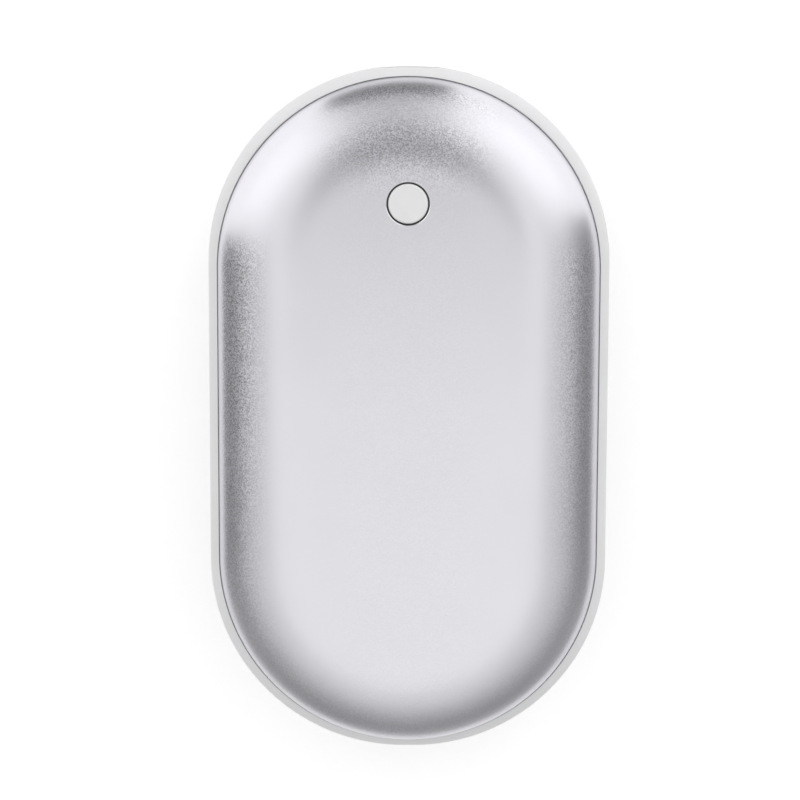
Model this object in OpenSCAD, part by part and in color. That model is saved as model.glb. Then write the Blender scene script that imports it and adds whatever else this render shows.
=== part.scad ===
// Rechargeable hand warmer. Two domed aluminium shells close on a pale plastic band. Inside are
// two round cells, a heating film under each shell, and a control board with a button and a port.
// The part lies on its back: X across, Y along with the button end at +Y, Z up through the front.
// Modules draw about the middle plane of the band, and at_middle() lifts them to their height.

/* [Body] */
// Width across the flanks
body_w = 60; // [59:0.5:66]
// Length from end to end
body_l = 103.6; // [102:0.2:116]
// Thickness from the back shell to the front shell
body_t = 26; // [25:0.5:32]
// Width of the straight run across each end, between the corner arcs
tip_w = 1.6; // [1:0.2:4]

/* [Band] */
// Height of the band between the shells
band_h = 6.4; // [6:0.2:8]
// Inset of the shells from the band's outline
band_inset = 1.6; // [1.4:0.1:2]
// Radius that rounds the band's edges
band_edge_r = 2.6; // [2:0.1:3]
// Thickness of the band's wall at mid height
band_wall = 2.2; // [2:0.1:2.6]
// Gap between a shell's rim and the band
seam_gap = 0.15; // [0.1:0.05:0.3]
// Depth of the rim's seat below the band's edge
seat_depth = 0.5; // [0.4:0.1:0.8]
// Thickness of the ledges under the rims
ledge_t = 1.4; // [1.2:0.1:1.6]
// Height of the upstands that centre the shells
upstand_h = 2.2; // [1.5:0.1:3]
// Thickness of the upstands
upstand_t = 1.2; // [1:0.1:1.5]
// Gap between an upstand and the inside of its shell
upstand_gap = 0.15; // [0.1:0.05:0.3]

/* [Shells] */
// Thickness of the aluminium
shell_wall = 0.8; // [0.6:0.1:1]
// Distance from the outline to where a shell turns flat
roll_off = 14; // [13:0.5:15]
// Radius of the crown arc next to the flat
crown_r = 14; // [13:0.5:16]
// Angle that the crown arc turns through
crown_angle = 35; // [30:1:40]
// Thickness of the gasket under each rim
gasket_t = 0.3; // [0.2:0.05:0.4]
// Gap between the gasket and the upstand
gasket_gap = 0.25; // [0.15:0.05:0.4]

/* [Button] */
// Distance from the button's centre to the upper end
button_from_end = 19.5; // [18:0.5:20.5]
// Diameter of the button's cap
cap_d = 5.8; // [5:0.1:6.4]
// Gap round the cap in the front shell
cap_gap = 0.25; // [0.15:0.05:0.35]
// Height of the cap above the front shell
cap_proud = 0.1; // [0:0.05:0.5]
// Radius of the cap's rounded edge
cap_edge_r = 0.35; // [0.2:0.05:0.5]
// Width of the chamfer round the button's hole
hole_chamfer = 0.15; // [0.1:0.05:0.3]
// Travel of the button
button_travel = 0.25; // [0.2:0.05:0.3]
// Reach of the flange past the hole
flange_reach = 0.55; // [0.4:0.05:0.7]
// Thickness of the flange
flange_t = 0.8; // [0.6:0.1:1]
// Diameter of the stem
stem_d = 3; // [2.4:0.1:3.2]
// Clearance round the stem and the flange in the guide
guide_fit = 0.2; // [0.1:0.05:0.3]
// Thickness of the guide's wall round the flange
guide_wall = 0.85; // [0.7:0.05:1]

/* [Switch] */
// Side of the switch's base
switch_side = 6; // [5.6:0.1:6.2]
// Height of the switch's base
switch_base_h = 3.3; // [3:0.1:3.5]
// Height of the plunger's top above the board
switch_h = 5; // [4.5:0.1:5.5]
// Thickness of the base under the snap dome
switch_floor = 0.8; // [0.6:0.1:1]
// Height of the snap dome
snap_h = 0.6; // [0.5:0.05:0.7]
// Diameter of the plunger
plunger_d = 3.4; // [3:0.1:3.5]
// Width of the lip that keeps the plunger's foot under the cover
plunger_lip = 0.35; // [0.3:0.05:0.45]
// Thickness of the switch's metal cover
cover_t = 0.2; // [0.15:0.05:0.3]

/* [Cells] */
// Gap between the cells' positive ends and the button's guide
cell_to_guide = 1.9; // [1.7:0.1:2.5]
// Gap between the two cells
cell_gap = 0.2; // [0.1:0.1:0.6]
// Thickness of a cell's sleeve
sleeve_t = 0.15; // [0.1:0.05:0.2]
// Thickness of a cell's can
can_wall = 0.3; // [0.25:0.05:0.4]
// Height of the positive cap above the can
nub_h = 1; // [0.8:0.1:1.4]
// Diameter of the positive cap
nub_d = 7; // [6:0.5:8]
// Thickness of the header disc under the positive cap
header_t = 1; // [0.8:0.1:1.2]
// Thickness of the insulating washer
washer_t = 0.25; // [0.2:0.05:0.3]
// Clearance between a cell's nested parts
nest_gap = 0.03; // [0.02:0.01:0.05]
// Thickness of the nickel strips
strip_t = 0.2; // [0.15:0.05:0.3]
// Width of the nickel strips
strip_w = 8; // [6:0.5:9]
// Thickness of the tape round the pack
tape_t = 0.1; // [0.08:0.01:0.12]
// Width of the tape
tape_w = 9; // [6:0.5:10]

/* [Cell brackets] */
// Length of a bracket along the cells
bracket_l = 6; // [5:0.5:7]
// Wall of a bracket round the cells
bracket_wall = 1.2; // [1:0.1:1.25]
// Clearance between a bracket and the cells
bracket_fit = 0.15; // [0.1:0.05:0.15]
// Distance from the negative end of the cells to the lower bracket
lower_bracket_at = 20; // [18:0.5:24]
// Distance from the positive end of the cells to the upper bracket
upper_bracket_at = 14; // [12:0.5:18]
// Thickness of a bracket's lugs
lug_t = 2; // [1.6:0.1:2.2]
// Gap between a bracket and the bosses beside it
boss_gap = 1; // [0.6:0.1:1.5]

/* [Heating] */
// Thickness of a heating film
film_t = 0.2; // [0.15:0.05:0.25]
// Thickness of the foil track on a film
track_t = 0.1; // [0.08:0.01:0.12]
// Width of the foil track
track_w = 1.4; // [1:0.1:2]
// Number of runs in a foil track, an even number
track_runs = 8; // [6:2:10]
// Distance of a film's edge from the edge of the shell's flat
film_margin = 1; // [0.5:0.1:2]
// Thickness of the insulating boards
insulator_t = 0.75; // [0.5:0.05:0.8]
// Gap between an insulating board and its heater
insulator_gap = 0.6; // [0.4:0.1:0.8]

/* [Control board] */
// Thickness of the board
board_t = 1.2; // [1:0.1:1.4]
// Gap between the board's edge and the frame
board_gap = 0.5; // [0.3:0.1:0.8]
// Gap between the cells' strip and the board
board_to_cells = 1.25; // [1.1:0.05:1.4]
// Angle of the board's screws from the cross axis
board_screw_angle = 27; // [22:1:32]

/* [Port] */
// Width of the port's metal shell
port_w = 8.94; // [8.8:0.02:9.2]
// Height of the port's metal shell
port_h = 3.16; // [3:0.02:3.3]
// Depth of the port's metal shell
port_l = 7.35; // [7:0.05:8]
// Thickness of the port's metal shell
port_wall = 0.3; // [0.2:0.05:0.35]
// Gap round the port in the band
port_gap = 0.1; // [0.1:0.05:0.2]
// Recess of the port's mouth behind the end of the band
port_recess = 0.4; // [0.2:0.1:0.8]

/* [Indicator] */
// Diameter of the light pipe's pins
pin_d = 1.2; // [1:0.1:1.4]
// Spacing of the pins
pin_pitch = 2.4; // [2.2:0.1:2.6]
// Distance from the centre line to the first pin
pin_first_x = 8.6; // [8:0.1:9.5]
// Number of pins
pin_count = 4; // [3:1:4]

/* [Screws and leads] */
// Diameter of the screws' shanks
screw_d = 1.9; // [1.6:0.1:2]
// Diameter of the screws' heads
head_d = 3.8; // [3.4:0.1:4]
// Height of the screws' heads
head_h = 1.2; // [1:0.1:1.4]
// Length of the thread in a boss
screw_grip = 3; // [2.5:0.1:3.5]
// Wall of the bosses round the screws
boss_wall = 1.3; // [1:0.1:1.4]
// Depth of the bosses below the middle of the band
boss_low = 5; // [4.5:0.1:5.5]
// Diameter of the battery leads
lead_d = 1.2; // [1:0.1:1.3]
// Diameter of the heater leads
heater_lead_d = 0.8; // [0.6:0.1:0.9]
// Diameter of the thermistor's leads
sensor_lead_d = 0.6; // [0.4:0.1:0.7]

/* [Hidden] */
$fn = 96;

// Outline of the band: a quarter arc at each corner, joined by straight runs
half_w = body_w / 2;
half_l = body_l / 2;
half_t = body_t / 2;
corner_r = half_w - tip_w / 2;
corner_y = half_l - corner_r;

// Shells: a stadium in plan whose end circles are centred at end_c
end_c = half_l - half_w;
seam_r = half_w - band_inset;
seam_z = band_h / 2;
seat_z = seam_z - seat_depth;
rim_z = seat_z + gasket_t;
flat_r = half_w - roll_off;
inner_z = half_t - shell_wall;
reach = body_l;

// The crown arc meets the flat, and the edge arc runs on from it to the seam
crown_c = [flat_r, half_t - crown_r];
crown_dir = [sin(crown_angle), cos(crown_angle)];
crown_end = crown_c + crown_r * crown_dir;
to_seam = [seam_r, seam_z] - crown_end;
edge_r = -(to_seam * to_seam) / (2 * (to_seam * crown_dir));
edge_c = crown_end - edge_r * crown_dir;

// Frame inside the band
flank_z = seam_z - sqrt(2 * band_edge_r * band_inset - pow(band_inset, 2));
upstand_z = seat_z + upstand_h;
upstand_r = edge_c[0] + sqrt(pow(edge_r - shell_wall, 2) - pow(upstand_z - edge_c[1], 2)) - upstand_gap;
frame_r = upstand_r - upstand_t;
wall_r = half_w - band_wall;
relief_z = seat_z - ledge_t;
merge = 0.5;

// Bosses for the cell brackets' screws
screw_gap = 0.05;
boss_hole = screw_grip + 0.4;
boss_r = screw_d / 2 + boss_wall;
lug_gap = 0.3;
lug_screw_x = frame_r - boss_r - merge;
lug_screw_l = lug_t + screw_grip;
board_screw_l = board_t + screw_grip;

// Button and its guide
button_y = half_l - button_from_end;
hole_r = cap_d / 2 + cap_gap;
flange_r = hole_r + flange_reach;
flange_gap = 0.05;
flange_z = inner_z - flange_gap - flange_t;
board_z = board_t / 2;
stem_z = board_z + switch_h;
guide_r = flange_r + guide_fit + guide_wall;
guide_gap = 0.1;
guide_roof = 0.3;

// Cells: as thick as the room between the heaters and between the bosses allows, and as long as
// the room between the frame's lower end and the button's guide
room_up = inner_z - film_t - track_t - insulator_gap - insulator_t - bracket_wall - bracket_fit;
room_out = (lug_screw_x - boss_r - boss_gap - bracket_wall - bracket_fit - cell_gap / 2) / 2;
cell_r = min(room_up, room_out);
cell_x = cell_r + cell_gap / 2;
cell_fit = 0.3;
cell_low = -end_c - sqrt(pow(frame_r - cell_fit, 2) - pow(cell_x + cell_r, 2));
cell_high = button_y - guide_r - cell_to_guide;
cell_l = cell_high - cell_low;
can_r = cell_r - sleeve_t - nest_gap;
can_l = cell_l - nub_h;
crimp_t = 0.35;
crimp_w = 1.8;
header_r = can_r - can_wall - nest_gap;
header_z = can_l - crimp_t - nest_gap - header_t;
core_gap = 0.25;
washer_in = 0.6;
fold_w = 1.4;
strip_over = 4;
weld_d = 3;
tab_w = 3;

// Leads between the two cells pass above and below the strips, through a window in each bracket
bracket_r = cell_r + bracket_fit + bracket_wall;
lower_bracket_y = cell_low + lower_bracket_at;
upper_bracket_y = cell_high - upper_bracket_at;
strip_room = 0.3;
window_room = 0.5;
groove_z = strip_w / 2 + lead_d / 2 + strip_room;
window_z = groove_z + lead_d / 2 + window_room;

// Board and what stands on it
board_r = frame_r - board_gap;
board_low = cell_high + strip_t + board_to_cells;
board_screw_in = 4;
board_screw_r = frame_r - board_screw_in;
part_gap = 1.5;
snap_z = board_z + switch_floor;
snap_r = plunger_d / 2 + plunger_lip;
foot_z = snap_z + snap_h;
cover_z = board_z + switch_base_h;

// Port in the upper end, and the light pipe beside it
port_y = half_l - port_recess - port_l;
led_gap = 0.2;
led_w = 1.6;
led_l = 0.9;
led_h = 0.6;
pipe_in = frame_r;
pipe_out = wall_r - led_gap;
pipe_mid = (pipe_in + pipe_out) / 2;
pipe_top = relief_z - led_gap;
pipe_low = -board_z;
pipe_over = 1.2;
pin_last_x = pin_first_x + (pin_count - 1) * pin_pitch;
pin_z = 0.2;
pin_recess = 0.1;

// Heating films
film_r = flat_r - film_margin;
film_to_guide = 1.4;
film_end = button_y - guide_r - film_to_guide;
track_in = 3;
track_x = film_r - track_in;
track_pitch = 2 * track_x / (track_runs - 1);
track_low = -end_c - film_r / 2;
pad_w = 2.4;
pad_l = 4.5;
pad_end = film_end - 0.5;
track_top = pad_end - pad_l;
insulator_end = pad_end - pad_w - 0.1;

// Places of the leads
lead_clear = 0.1;
lead_drop = 2;
lead_in = 0.9;
battery_lead_x = (guide_r + track_x) / 2;
battery_lead_y = board_low + lead_in;
heater_lead_y = battery_lead_y + 0.5;
sensor_x = 0.5;
sensor_d = 3.2;
sensor_l = 5;
sensor_y = (lower_bracket_y + upper_bracket_y + sensor_l) / 2;
sensor_z = sqrt(pow(cell_r + sensor_d / 2 + lead_clear, 2) - pow(cell_x, 2));

module at_middle() translate([0, 0, half_t]) children();

module both_ends() for (turn = [0, 180]) rotate([0, 0, turn]) children();

module both_faces() for (face = [0, 1]) mirror([0, 0, face]) children();

// Plan shape of everything that follows the shells
module stadium(r) {
  for (side = [-1, 1]) translate([0, side * end_c]) circle(r);
  square([2 * r, 2 * end_c], center = true);
}

module outline_shape(inset) {
  for (x = [-1, 1] * tip_w / 2, y = [-1, 1] * corner_y) translate([x, y]) circle(corner_r - inset);
  square([body_w - 2 * inset, 2 * corner_y], center = true);
  square([tip_w, body_l - 2 * inset], center = true);
}

module slot_shape(w, h) {
  for (side = [-1, 1]) translate([side * (w - h) / 2, 0]) circle(h / 2);
  square([w - h, h], center = true);
}

// Lays a flat shape's height along Z and extrudes it along +Y from y = 0
module along_y(length) rotate([-90, 0, 0]) linear_extrude(length) children();

// Area under one shell's surface, from an end centre outwards. Inset 0 is its outer face.
// A strip laps over the line where the crown's sector meets the edge's.
module dome_area(inset, low) {
  lap = 0.2;
  intersection() {
    translate([0, low]) square([reach, half_t]);
    union() {
      square([flat_r, half_t - inset]);
      intersection() {
        translate(crown_c) circle(crown_r - inset);
        translate([flat_r, -reach]) square([reach, 2 * reach]);
        translate(crown_c) rotate(-crown_angle) translate([-reach, -reach]) square([reach, 2 * reach]);
      }
      intersection() {
        translate(edge_c) circle(edge_r - inset);
        translate(crown_c) rotate(-crown_angle) translate([0, -reach]) square([reach, 2 * reach]);
      }
      translate(crown_c) rotate(-crown_angle) translate([-lap, 0])
        square([2 * lap, crown_r - inset - lap]);
    }
  }
}

module shell_section() {
  difference() {
    dome_area(0, rim_z);
    dome_area(shell_wall, rim_z - 1);
  }
}

module shell_form() {
  both_ends() translate([0, end_c, 0]) rotate_extrude(angle = 180) shell_section();
  rotate([90, 0, 0]) linear_extrude(2 * end_c, center = true) {
    shell_section();
    mirror([1, 0]) shell_section();
  }
}

module front_shell() {
  color([0.80, 0.80, 0.82]) at_middle() difference() {
    shell_form();
    translate([0, button_y, inner_z - 1]) cylinder(h = shell_wall + 2, r = hole_r);
    translate([0, button_y, half_t - hole_chamfer])
      cylinder(h = 2 * hole_chamfer, r1 = hole_r, r2 = hole_r + 2 * hole_chamfer);
  }
}

module back_shell() {
  color([0.80, 0.80, 0.82]) at_middle() mirror([0, 0, 1]) shell_form();
}

// Section of the band, with its outline at x = 0 and its depth on the negative side
module band_section(depth) {
  intersection() {
    translate([-depth, -seam_z]) square([depth, band_h]);
    union() {
      translate([-depth, -seam_z]) square([depth - band_edge_r, band_h]);
      translate([-band_edge_r - merge, -flank_z]) square([band_edge_r + merge, 2 * flank_z]);
      for (side = [-1, 1]) translate([-band_edge_r, side * flank_z]) circle(band_edge_r);
    }
  }
}

module band_ring(depth) {
  both_ends() {
    for (side = [0, 1]) mirror([side, 0, 0]) translate([tip_w / 2, corner_y, 0])
      rotate_extrude(angle = 90) translate([corner_r, 0]) band_section(depth);
    translate([half_w, 0, 0]) rotate([90, 0, 0])
      linear_extrude(2 * corner_y, center = true) band_section(depth);
    translate([0, half_l, 0]) rotate([90, 0, 90])
      linear_extrude(tip_w, center = true) band_section(depth);
  }
}

module frame_walls() {
  difference() {
    band_ring(half_w - frame_r + 1);
    both_faces() translate([0, 0, seat_z]) linear_extrude(band_h) stadium(seam_r + seam_gap);
    linear_extrude(2 * band_h, center = true) stadium(frame_r);
    linear_extrude(2 * relief_z, center = true) stadium(wall_r);
  }
  both_faces() translate([0, 0, seat_z - merge]) linear_extrude(upstand_h + merge) difference() {
    stadium(upstand_r);
    stadium(frame_r);
  }
}

// Boss on a web that joins it to the frame, with the frame's wall towards +X
module boss(top, to_wall) {
  translate([0, 0, -boss_low]) cylinder(h = boss_low + top, r = boss_r);
  translate([0, -boss_wall, -boss_low]) cube([to_wall + merge, 2 * boss_wall, boss_low + top]);
}

module at_board_screws() {
  for (side = [0, 1]) mirror([side, 0, 0]) translate([0, end_c, 0])
    rotate([0, 0, board_screw_angle]) translate([board_screw_r, 0, 0]) children();
}

module at_bracket_screws(y) {
  for (side = [0, 1]) mirror([side, 0, 0]) translate([lug_screw_x, y, 0]) children();
}

module cell_stops() {
  low = -end_c - frame_r;
  stop_w = 4;
  for (side = [-1, 1]) translate([side * cell_x - stop_w / 2, low, -seat_z])
    cube([stop_w, cell_low - 2 * strip_t - cell_fit / 2 - low, 2 * seat_z]);
}

module mid_frame() {
  color([0.90, 0.90, 0.91]) at_middle() difference() {
    union() {
      frame_walls();
      cell_stops();
      at_board_screws() boss(-board_z, frame_r - board_screw_r);
      for (y = [lower_bracket_y, upper_bracket_y])
        at_bracket_screws(y) boss(-lug_t / 2, frame_r - lug_screw_x);
    }
    at_board_screws() translate([0, 0, -board_z - boss_hole])
      cylinder(h = boss_hole + 1, r = screw_d / 2 + screw_gap);
    for (y = [lower_bracket_y, upper_bracket_y])
      at_bracket_screws(y) translate([0, 0, -lug_t / 2 - boss_hole])
        cylinder(h = boss_hole + 1, r = screw_d / 2 + screw_gap);
    translate([0, end_c + frame_r - 1, 0]) along_y(half_w)
      slot_shape(port_w + 2 * port_gap, port_h + 2 * port_gap);
    pins(pin_d / 2 + screw_gap);
  }
}

module seal() {
  color([0.25, 0.25, 0.27]) translate([0, 0, seat_z]) linear_extrude(gasket_t) difference() {
    stadium(seam_r);
    stadium(upstand_r + gasket_gap);
  }
}

module front_seal() at_middle() seal();

module back_seal() at_middle() mirror([0, 0, 1]) seal();

// Button: cap, flange that keeps it under the shell, and stem down to the switch
module power_button() {
  cap_r = cap_d / 2;
  cap_top = half_t + cap_proud;
  color([0.86, 0.86, 0.87]) translate([0, button_y, half_t]) rotate_extrude() {
    translate([0, stem_z]) square([stem_d / 2, flange_z - stem_z + merge]);
    translate([0, flange_z]) square([flange_r, flange_t]);
    translate([0, flange_z]) square([cap_r, cap_top - cap_edge_r - flange_z]);
    translate([0, flange_z]) square([cap_r - cap_edge_r, cap_top - flange_z]);
    translate([cap_r - cap_edge_r, cap_top - cap_edge_r]) circle(cap_edge_r);
  }
}

module button_guide() {
  pocket_z = flange_z - button_travel - guide_roof;
  roof_z = stem_z + guide_roof;
  nest = switch_side + 2 * guide_fit;
  color([0.16, 0.16, 0.17]) translate([0, button_y, half_t]) difference() {
    translate([0, 0, board_z]) cylinder(h = inner_z - guide_gap - board_z, r = guide_r);
    translate([-nest / 2, -nest / 2, board_z - 1]) cube([nest, nest, roof_z - board_z + 1]);
    cylinder(h = half_t, r = stem_d / 2 + guide_fit);
    translate([0, 0, pocket_z]) cylinder(h = half_t, r = flange_r + guide_fit);
  }
}

module at_pins(radius, outer = 0) {
  for (x = [pin_first_x : pin_pitch : pin_last_x])
    translate([x, end_c + sqrt(pow(radius, 2) - pow(x + outer, 2)), 0]) children();
}

module pins(r) at_pins(pipe_mid) translate([0, 0, pin_z]) rotate([-90, 0, 0]) cylinder(h = half_w, r = r);

// Light pipe: a curved bar inside the band with straight pins that end just short of its outline
module light_pipe() {
  low_angle = acos((pin_last_x + pipe_over) / pipe_mid);
  high_angle = acos((pin_first_x - pipe_over) / pipe_mid);
  color([0.93, 0.95, 0.96]) at_middle() {
    translate([0, end_c, pipe_low]) rotate([0, 0, low_angle])
      rotate_extrude(angle = high_angle - low_angle)
        translate([pipe_in, 0]) square([pipe_out - pipe_in, pipe_top - pipe_low]);
    intersection() {
      pins(pin_d / 2);
      linear_extrude(band_h, center = true) outline_shape(pin_recess);
    }
  }
}

module film_shape(end) {
  intersection() {
    stadium(film_r);
    translate([-half_w, end - body_l]) square([body_w, body_l]);
  }
}

module heater_film() {
  color([0.72, 0.42, 0.12]) translate([0, 0, inner_z - film_t]) linear_extrude(film_t) film_shape(film_end);
}

// Foil that runs up and down the film, with both ends at the button end
module heater_track() {
  run_l = track_top - track_low;
  color([0.78, 0.45, 0.28]) translate([0, 0, inner_z - film_t - track_t]) linear_extrude(track_t) {
    for (i = [0 : track_runs - 1]) translate([-track_x + i * track_pitch - track_w / 2, track_low])
      square([track_w, run_l]);
    for (i = [0 : 2 : track_runs - 2]) translate([-track_x + i * track_pitch, track_low])
      square([track_pitch, track_w]);
    for (i = [1 : 2 : track_runs - 3]) translate([-track_x + i * track_pitch, track_top - track_w])
      square([track_pitch, track_w]);
    for (side = [-1, 1]) translate([side * track_x - pad_w / 2, track_top - track_w])
      square([pad_w, pad_end - track_top + track_w]);
  }
}

module insulator() {
  color([0.80, 0.76, 0.66]) translate([0, 0, bracket_r]) linear_extrude(insulator_t)
    film_shape(insulator_end);
}

module front_heater_film() at_middle() heater_film();

module back_heater_film() at_middle() mirror([0, 0, 1]) heater_film();

module front_heater_track() at_middle() heater_track();

module back_heater_track() at_middle() mirror([0, 0, 1]) heater_track();

module front_insulator() at_middle() insulator();

module back_insulator() at_middle() mirror([0, 0, 1]) insulator();

// Cells stand on their negative end at z = 0 here, and at_cell() lays them along Y
module at_cell(side) translate([side * cell_x, cell_low, half_t]) rotate([-90, 0, 0]) children();

module cell_can() {
  color([0.62, 0.63, 0.65]) difference() {
    cylinder(h = can_l, r = can_r);
    translate([0, 0, can_wall]) cylinder(h = can_l - can_wall - crimp_t, r = can_r - can_wall);
    translate([0, 0, header_z]) cylinder(h = can_l, r = can_r - crimp_w);
  }
}

module cell_core() {
  color([0.30, 0.31, 0.34]) translate([0, 0, can_wall + core_gap])
    cylinder(h = header_z - can_wall - 2 * core_gap, r = can_r - can_wall - core_gap);
}

module cell_cap() {
  color([0.72, 0.72, 0.74]) {
    translate([0, 0, header_z]) cylinder(h = header_t, r = header_r);
    translate([0, 0, header_z]) cylinder(h = cell_l - header_z, r = nub_d / 2);
  }
}

module cell_washer() {
  color([0.93, 0.93, 0.90]) translate([0, 0, can_l]) difference() {
    cylinder(h = washer_t, r = can_r - washer_in);
    translate([0, 0, -1]) cylinder(h = washer_t + 2, r = nub_d / 2 + cell_fit);
  }
}

module cell_sleeve() {
  low = -nest_gap - sleeve_t;
  top = can_l + washer_t + nest_gap + sleeve_t;
  color([0.10, 0.45, 0.62]) difference() {
    translate([0, 0, low]) cylinder(h = top - low, r = cell_r);
    translate([0, 0, low + sleeve_t]) cylinder(h = top - low - 2 * sleeve_t, r = cell_r - sleeve_t);
    translate([0, 0, low - 1]) cylinder(h = top - low + 2, r = can_r - fold_w);
  }
}

module left_cell_can() at_cell(-1) cell_can();

module right_cell_can() at_cell(1) cell_can();

module left_cell_core() at_cell(-1) cell_core();

module right_cell_core() at_cell(1) cell_core();

module left_cell_cap() at_cell(-1) cell_cap();

module right_cell_cap() at_cell(1) cell_cap();

module left_cell_washer() at_cell(-1) cell_washer();

module right_cell_washer() at_cell(1) cell_washer();

module left_cell_sleeve() at_cell(-1) cell_sleeve();

module right_cell_sleeve() at_cell(1) cell_sleeve();

// Nickel strips that join the cells' ends side by side
module strip_plate() {
  strip_l = 2 * (cell_x + strip_over);
  translate([-strip_l / 2, 0, -strip_w / 2]) cube([strip_l, strip_t, strip_w]);
}

module positive_strip() {
  color([0.75, 0.74, 0.71]) at_middle() translate([0, cell_high, 0]) strip_plate();
}

// The negative strip stands off the sleeves' folds on four welds, with a tab up to its lead
module negative_strip() {
  color([0.75, 0.74, 0.71]) at_middle() translate([0, cell_low - 2 * strip_t, 0]) {
    strip_plate();
    translate([-tab_w / 2, 0, 0]) cube([tab_w, strip_t, groove_z + lead_d]);
    for (x = [-1, 1] * cell_x, dx = [-1, 1] * weld_d / 2) translate([x + dx, 0, 0])
      rotate([-90, 0, 0]) cylinder(h = 2 * strip_t, r = weld_d / 3);
  }
}

// Plan shape round both cells at a distance from their sleeves, seen along Y
module pair_shape(r) {
  for (side = [-1, 1]) translate([side * cell_x, 0]) circle(r);
  square([2 * cell_x, 2 * r], center = true);
}

module pack_tape() {
  tape_in = cell_r + nest_gap;
  for (y = [lower_bracket_y - tape_w - bracket_l, upper_bracket_y - tape_w - bracket_l])
    color([0.85, 0.72, 0.25]) at_middle() translate([0, y, 0]) along_y(tape_w) difference() {
      pair_shape(tape_in + tape_t);
      pair_shape(tape_in);
    }
}

module cell_bracket(y) {
  lug_out = frame_r - lug_gap;
  color([0.20, 0.20, 0.22]) at_middle() difference() {
    translate([0, y - bracket_l / 2, 0]) along_y(bracket_l) difference() {
      union() {
        pair_shape(bracket_r);
        square([2 * lug_out, lug_t], center = true);
      }
      for (side = [-1, 1]) translate([side * cell_x, 0]) circle(cell_r + bracket_fit);
      square([cell_x, 2 * window_z], center = true);
    }
    at_bracket_screws(y) cylinder(h = 2 * lug_t, r = screw_d / 2 + 2 * screw_gap, center = true);
  }
}

module lower_cell_bracket() cell_bracket(lower_bracket_y);

module upper_cell_bracket() cell_bracket(upper_bracket_y);

// Screw with its head's seat at z = 0 and a cross recess in the head
module screw(length) {
  recess_d = 0.6 * head_d;
  recess_w = 0.5;
  color([0.55, 0.55, 0.58]) difference() {
    union() {
      cylinder(h = head_h, r = head_d / 2);
      translate([0, 0, -length]) cylinder(h = length + merge, r = screw_d / 2);
    }
    for (turn = [0, 90]) rotate([0, 0, turn]) translate([-recess_d / 2, -recess_w / 2, head_h / 2])
      cube([recess_d, recess_w, head_h]);
  }
}

module bracket_screws() {
  for (y = [lower_bracket_y, upper_bracket_y])
    at_middle() at_bracket_screws(y) translate([0, 0, lug_t / 2]) screw(lug_screw_l);
}

module board_screws() at_middle() at_board_screws() translate([0, 0, board_z]) screw(board_screw_l);

module main_board() {
  notch_w = port_w + 4 * port_gap;
  color([0.05, 0.34, 0.18]) at_middle() difference() {
    translate([0, 0, -board_z]) linear_extrude(board_t) difference() {
      translate([0, end_c]) circle(board_r);
      translate([-half_w, board_low - body_l]) square([body_w, body_l]);
      translate([-notch_w / 2, port_y - 2 * port_gap]) square([notch_w, half_l]);
    }
    at_board_screws() cylinder(h = 2 * board_t, r = screw_d / 2 + 3 * screw_gap, center = true);
  }
}

// Parts soldered on the board are placed from the button's centre
module on_board(x, y) translate([x, button_y + y, half_t + board_z]) children();

module block(w, l, h) translate([-w / 2, -l / 2, 0]) cube([w, l, h]);

module controller_chip() {
  chip_w = 4.4;
  chip_l = 5.6;
  chip_h = 1.4;
  chip_y = 3;
  leg_pitch = 1.27;
  leg_w = 0.4;
  leg_h = 0.25;
  leg_reach = 0.8;
  on_board(-guide_r - part_gap - leg_reach - chip_w / 2, chip_y) {
    color([0.10, 0.10, 0.11]) translate([0, 0, leg_h / 2]) block(chip_w, chip_l, chip_h);
    color([0.75, 0.75, 0.76]) for (i = [-1.5 : 1 : 1.5])
      translate([0, i * leg_pitch, 0]) block(chip_w + 2 * leg_reach, leg_w, leg_h);
  }
}

module power_inductor() {
  coil_side = 6;
  coil_h = 3;
  coil_y = 3.5;
  groove_depth = 0.4;
  groove_out = 2.4;
  groove_in = 1.7;
  on_board(guide_r + part_gap + coil_side / 2, coil_y) color([0.25, 0.25, 0.26]) difference() {
    block(coil_side, coil_side, coil_h);
    translate([0, 0, coil_h - groove_depth]) difference() {
      cylinder(h = coil_h, r = groove_out);
      translate([0, 0, -groove_depth]) cylinder(h = 2 * coil_h, r = groove_in);
    }
  }
}

module board_capacitors() {
  cap_count = 4;
  cap_pitch = 2.6;
  cap_w = 1;
  cap_l = 1.8;
  cap_h = 0.9;
  cap_y = 7.5;
  for (i = [0 : cap_count - 1]) on_board(-guide_r - part_gap - cap_w / 2 - i * cap_pitch, cap_y)
    color([0.70, 0.60, 0.45]) block(cap_w, cap_l, cap_h);
}

module indicator_leds() {
  color([0.95, 0.95, 0.85]) at_pins(board_r, led_w / 2)
    translate([0, -led_gap - led_l / 2, half_t + board_z]) block(led_w, led_l, led_h);
}

// Port: a metal shell that passes through the band, with wings that lie on the board
module port_shell() {
  wing_w = 1.2;
  wing_l = 1.4;
  wing_y = 1;
  color([0.78, 0.78, 0.80]) at_middle() translate([0, port_y, 0]) {
    along_y(port_l) difference() {
      slot_shape(port_w, port_h);
      slot_shape(port_w - 2 * port_wall, port_h - 2 * port_wall);
    }
    for (side = [-1, 1]) translate([side * (port_w / 2 + wing_w / 2 - port_wall / 2), wing_y, board_z])
      block(wing_w + port_wall, wing_l, port_wall);
  }
}

module port_tongue() {
  plug_l = 1.8;
  tongue_w = 6.69;
  tongue_t = 0.7;
  tongue_l = 4.45;
  fit = 0.02;
  color([0.12, 0.12, 0.13]) at_middle() translate([0, port_y, 0]) {
    along_y(plug_l) slot_shape(port_w - 2 * port_wall - 2 * fit, port_h - 2 * port_wall - 2 * fit);
    translate([-tongue_w / 2, 0, -tongue_t / 2]) cube([tongue_w, plug_l + tongue_l, tongue_t]);
  }
}

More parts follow.
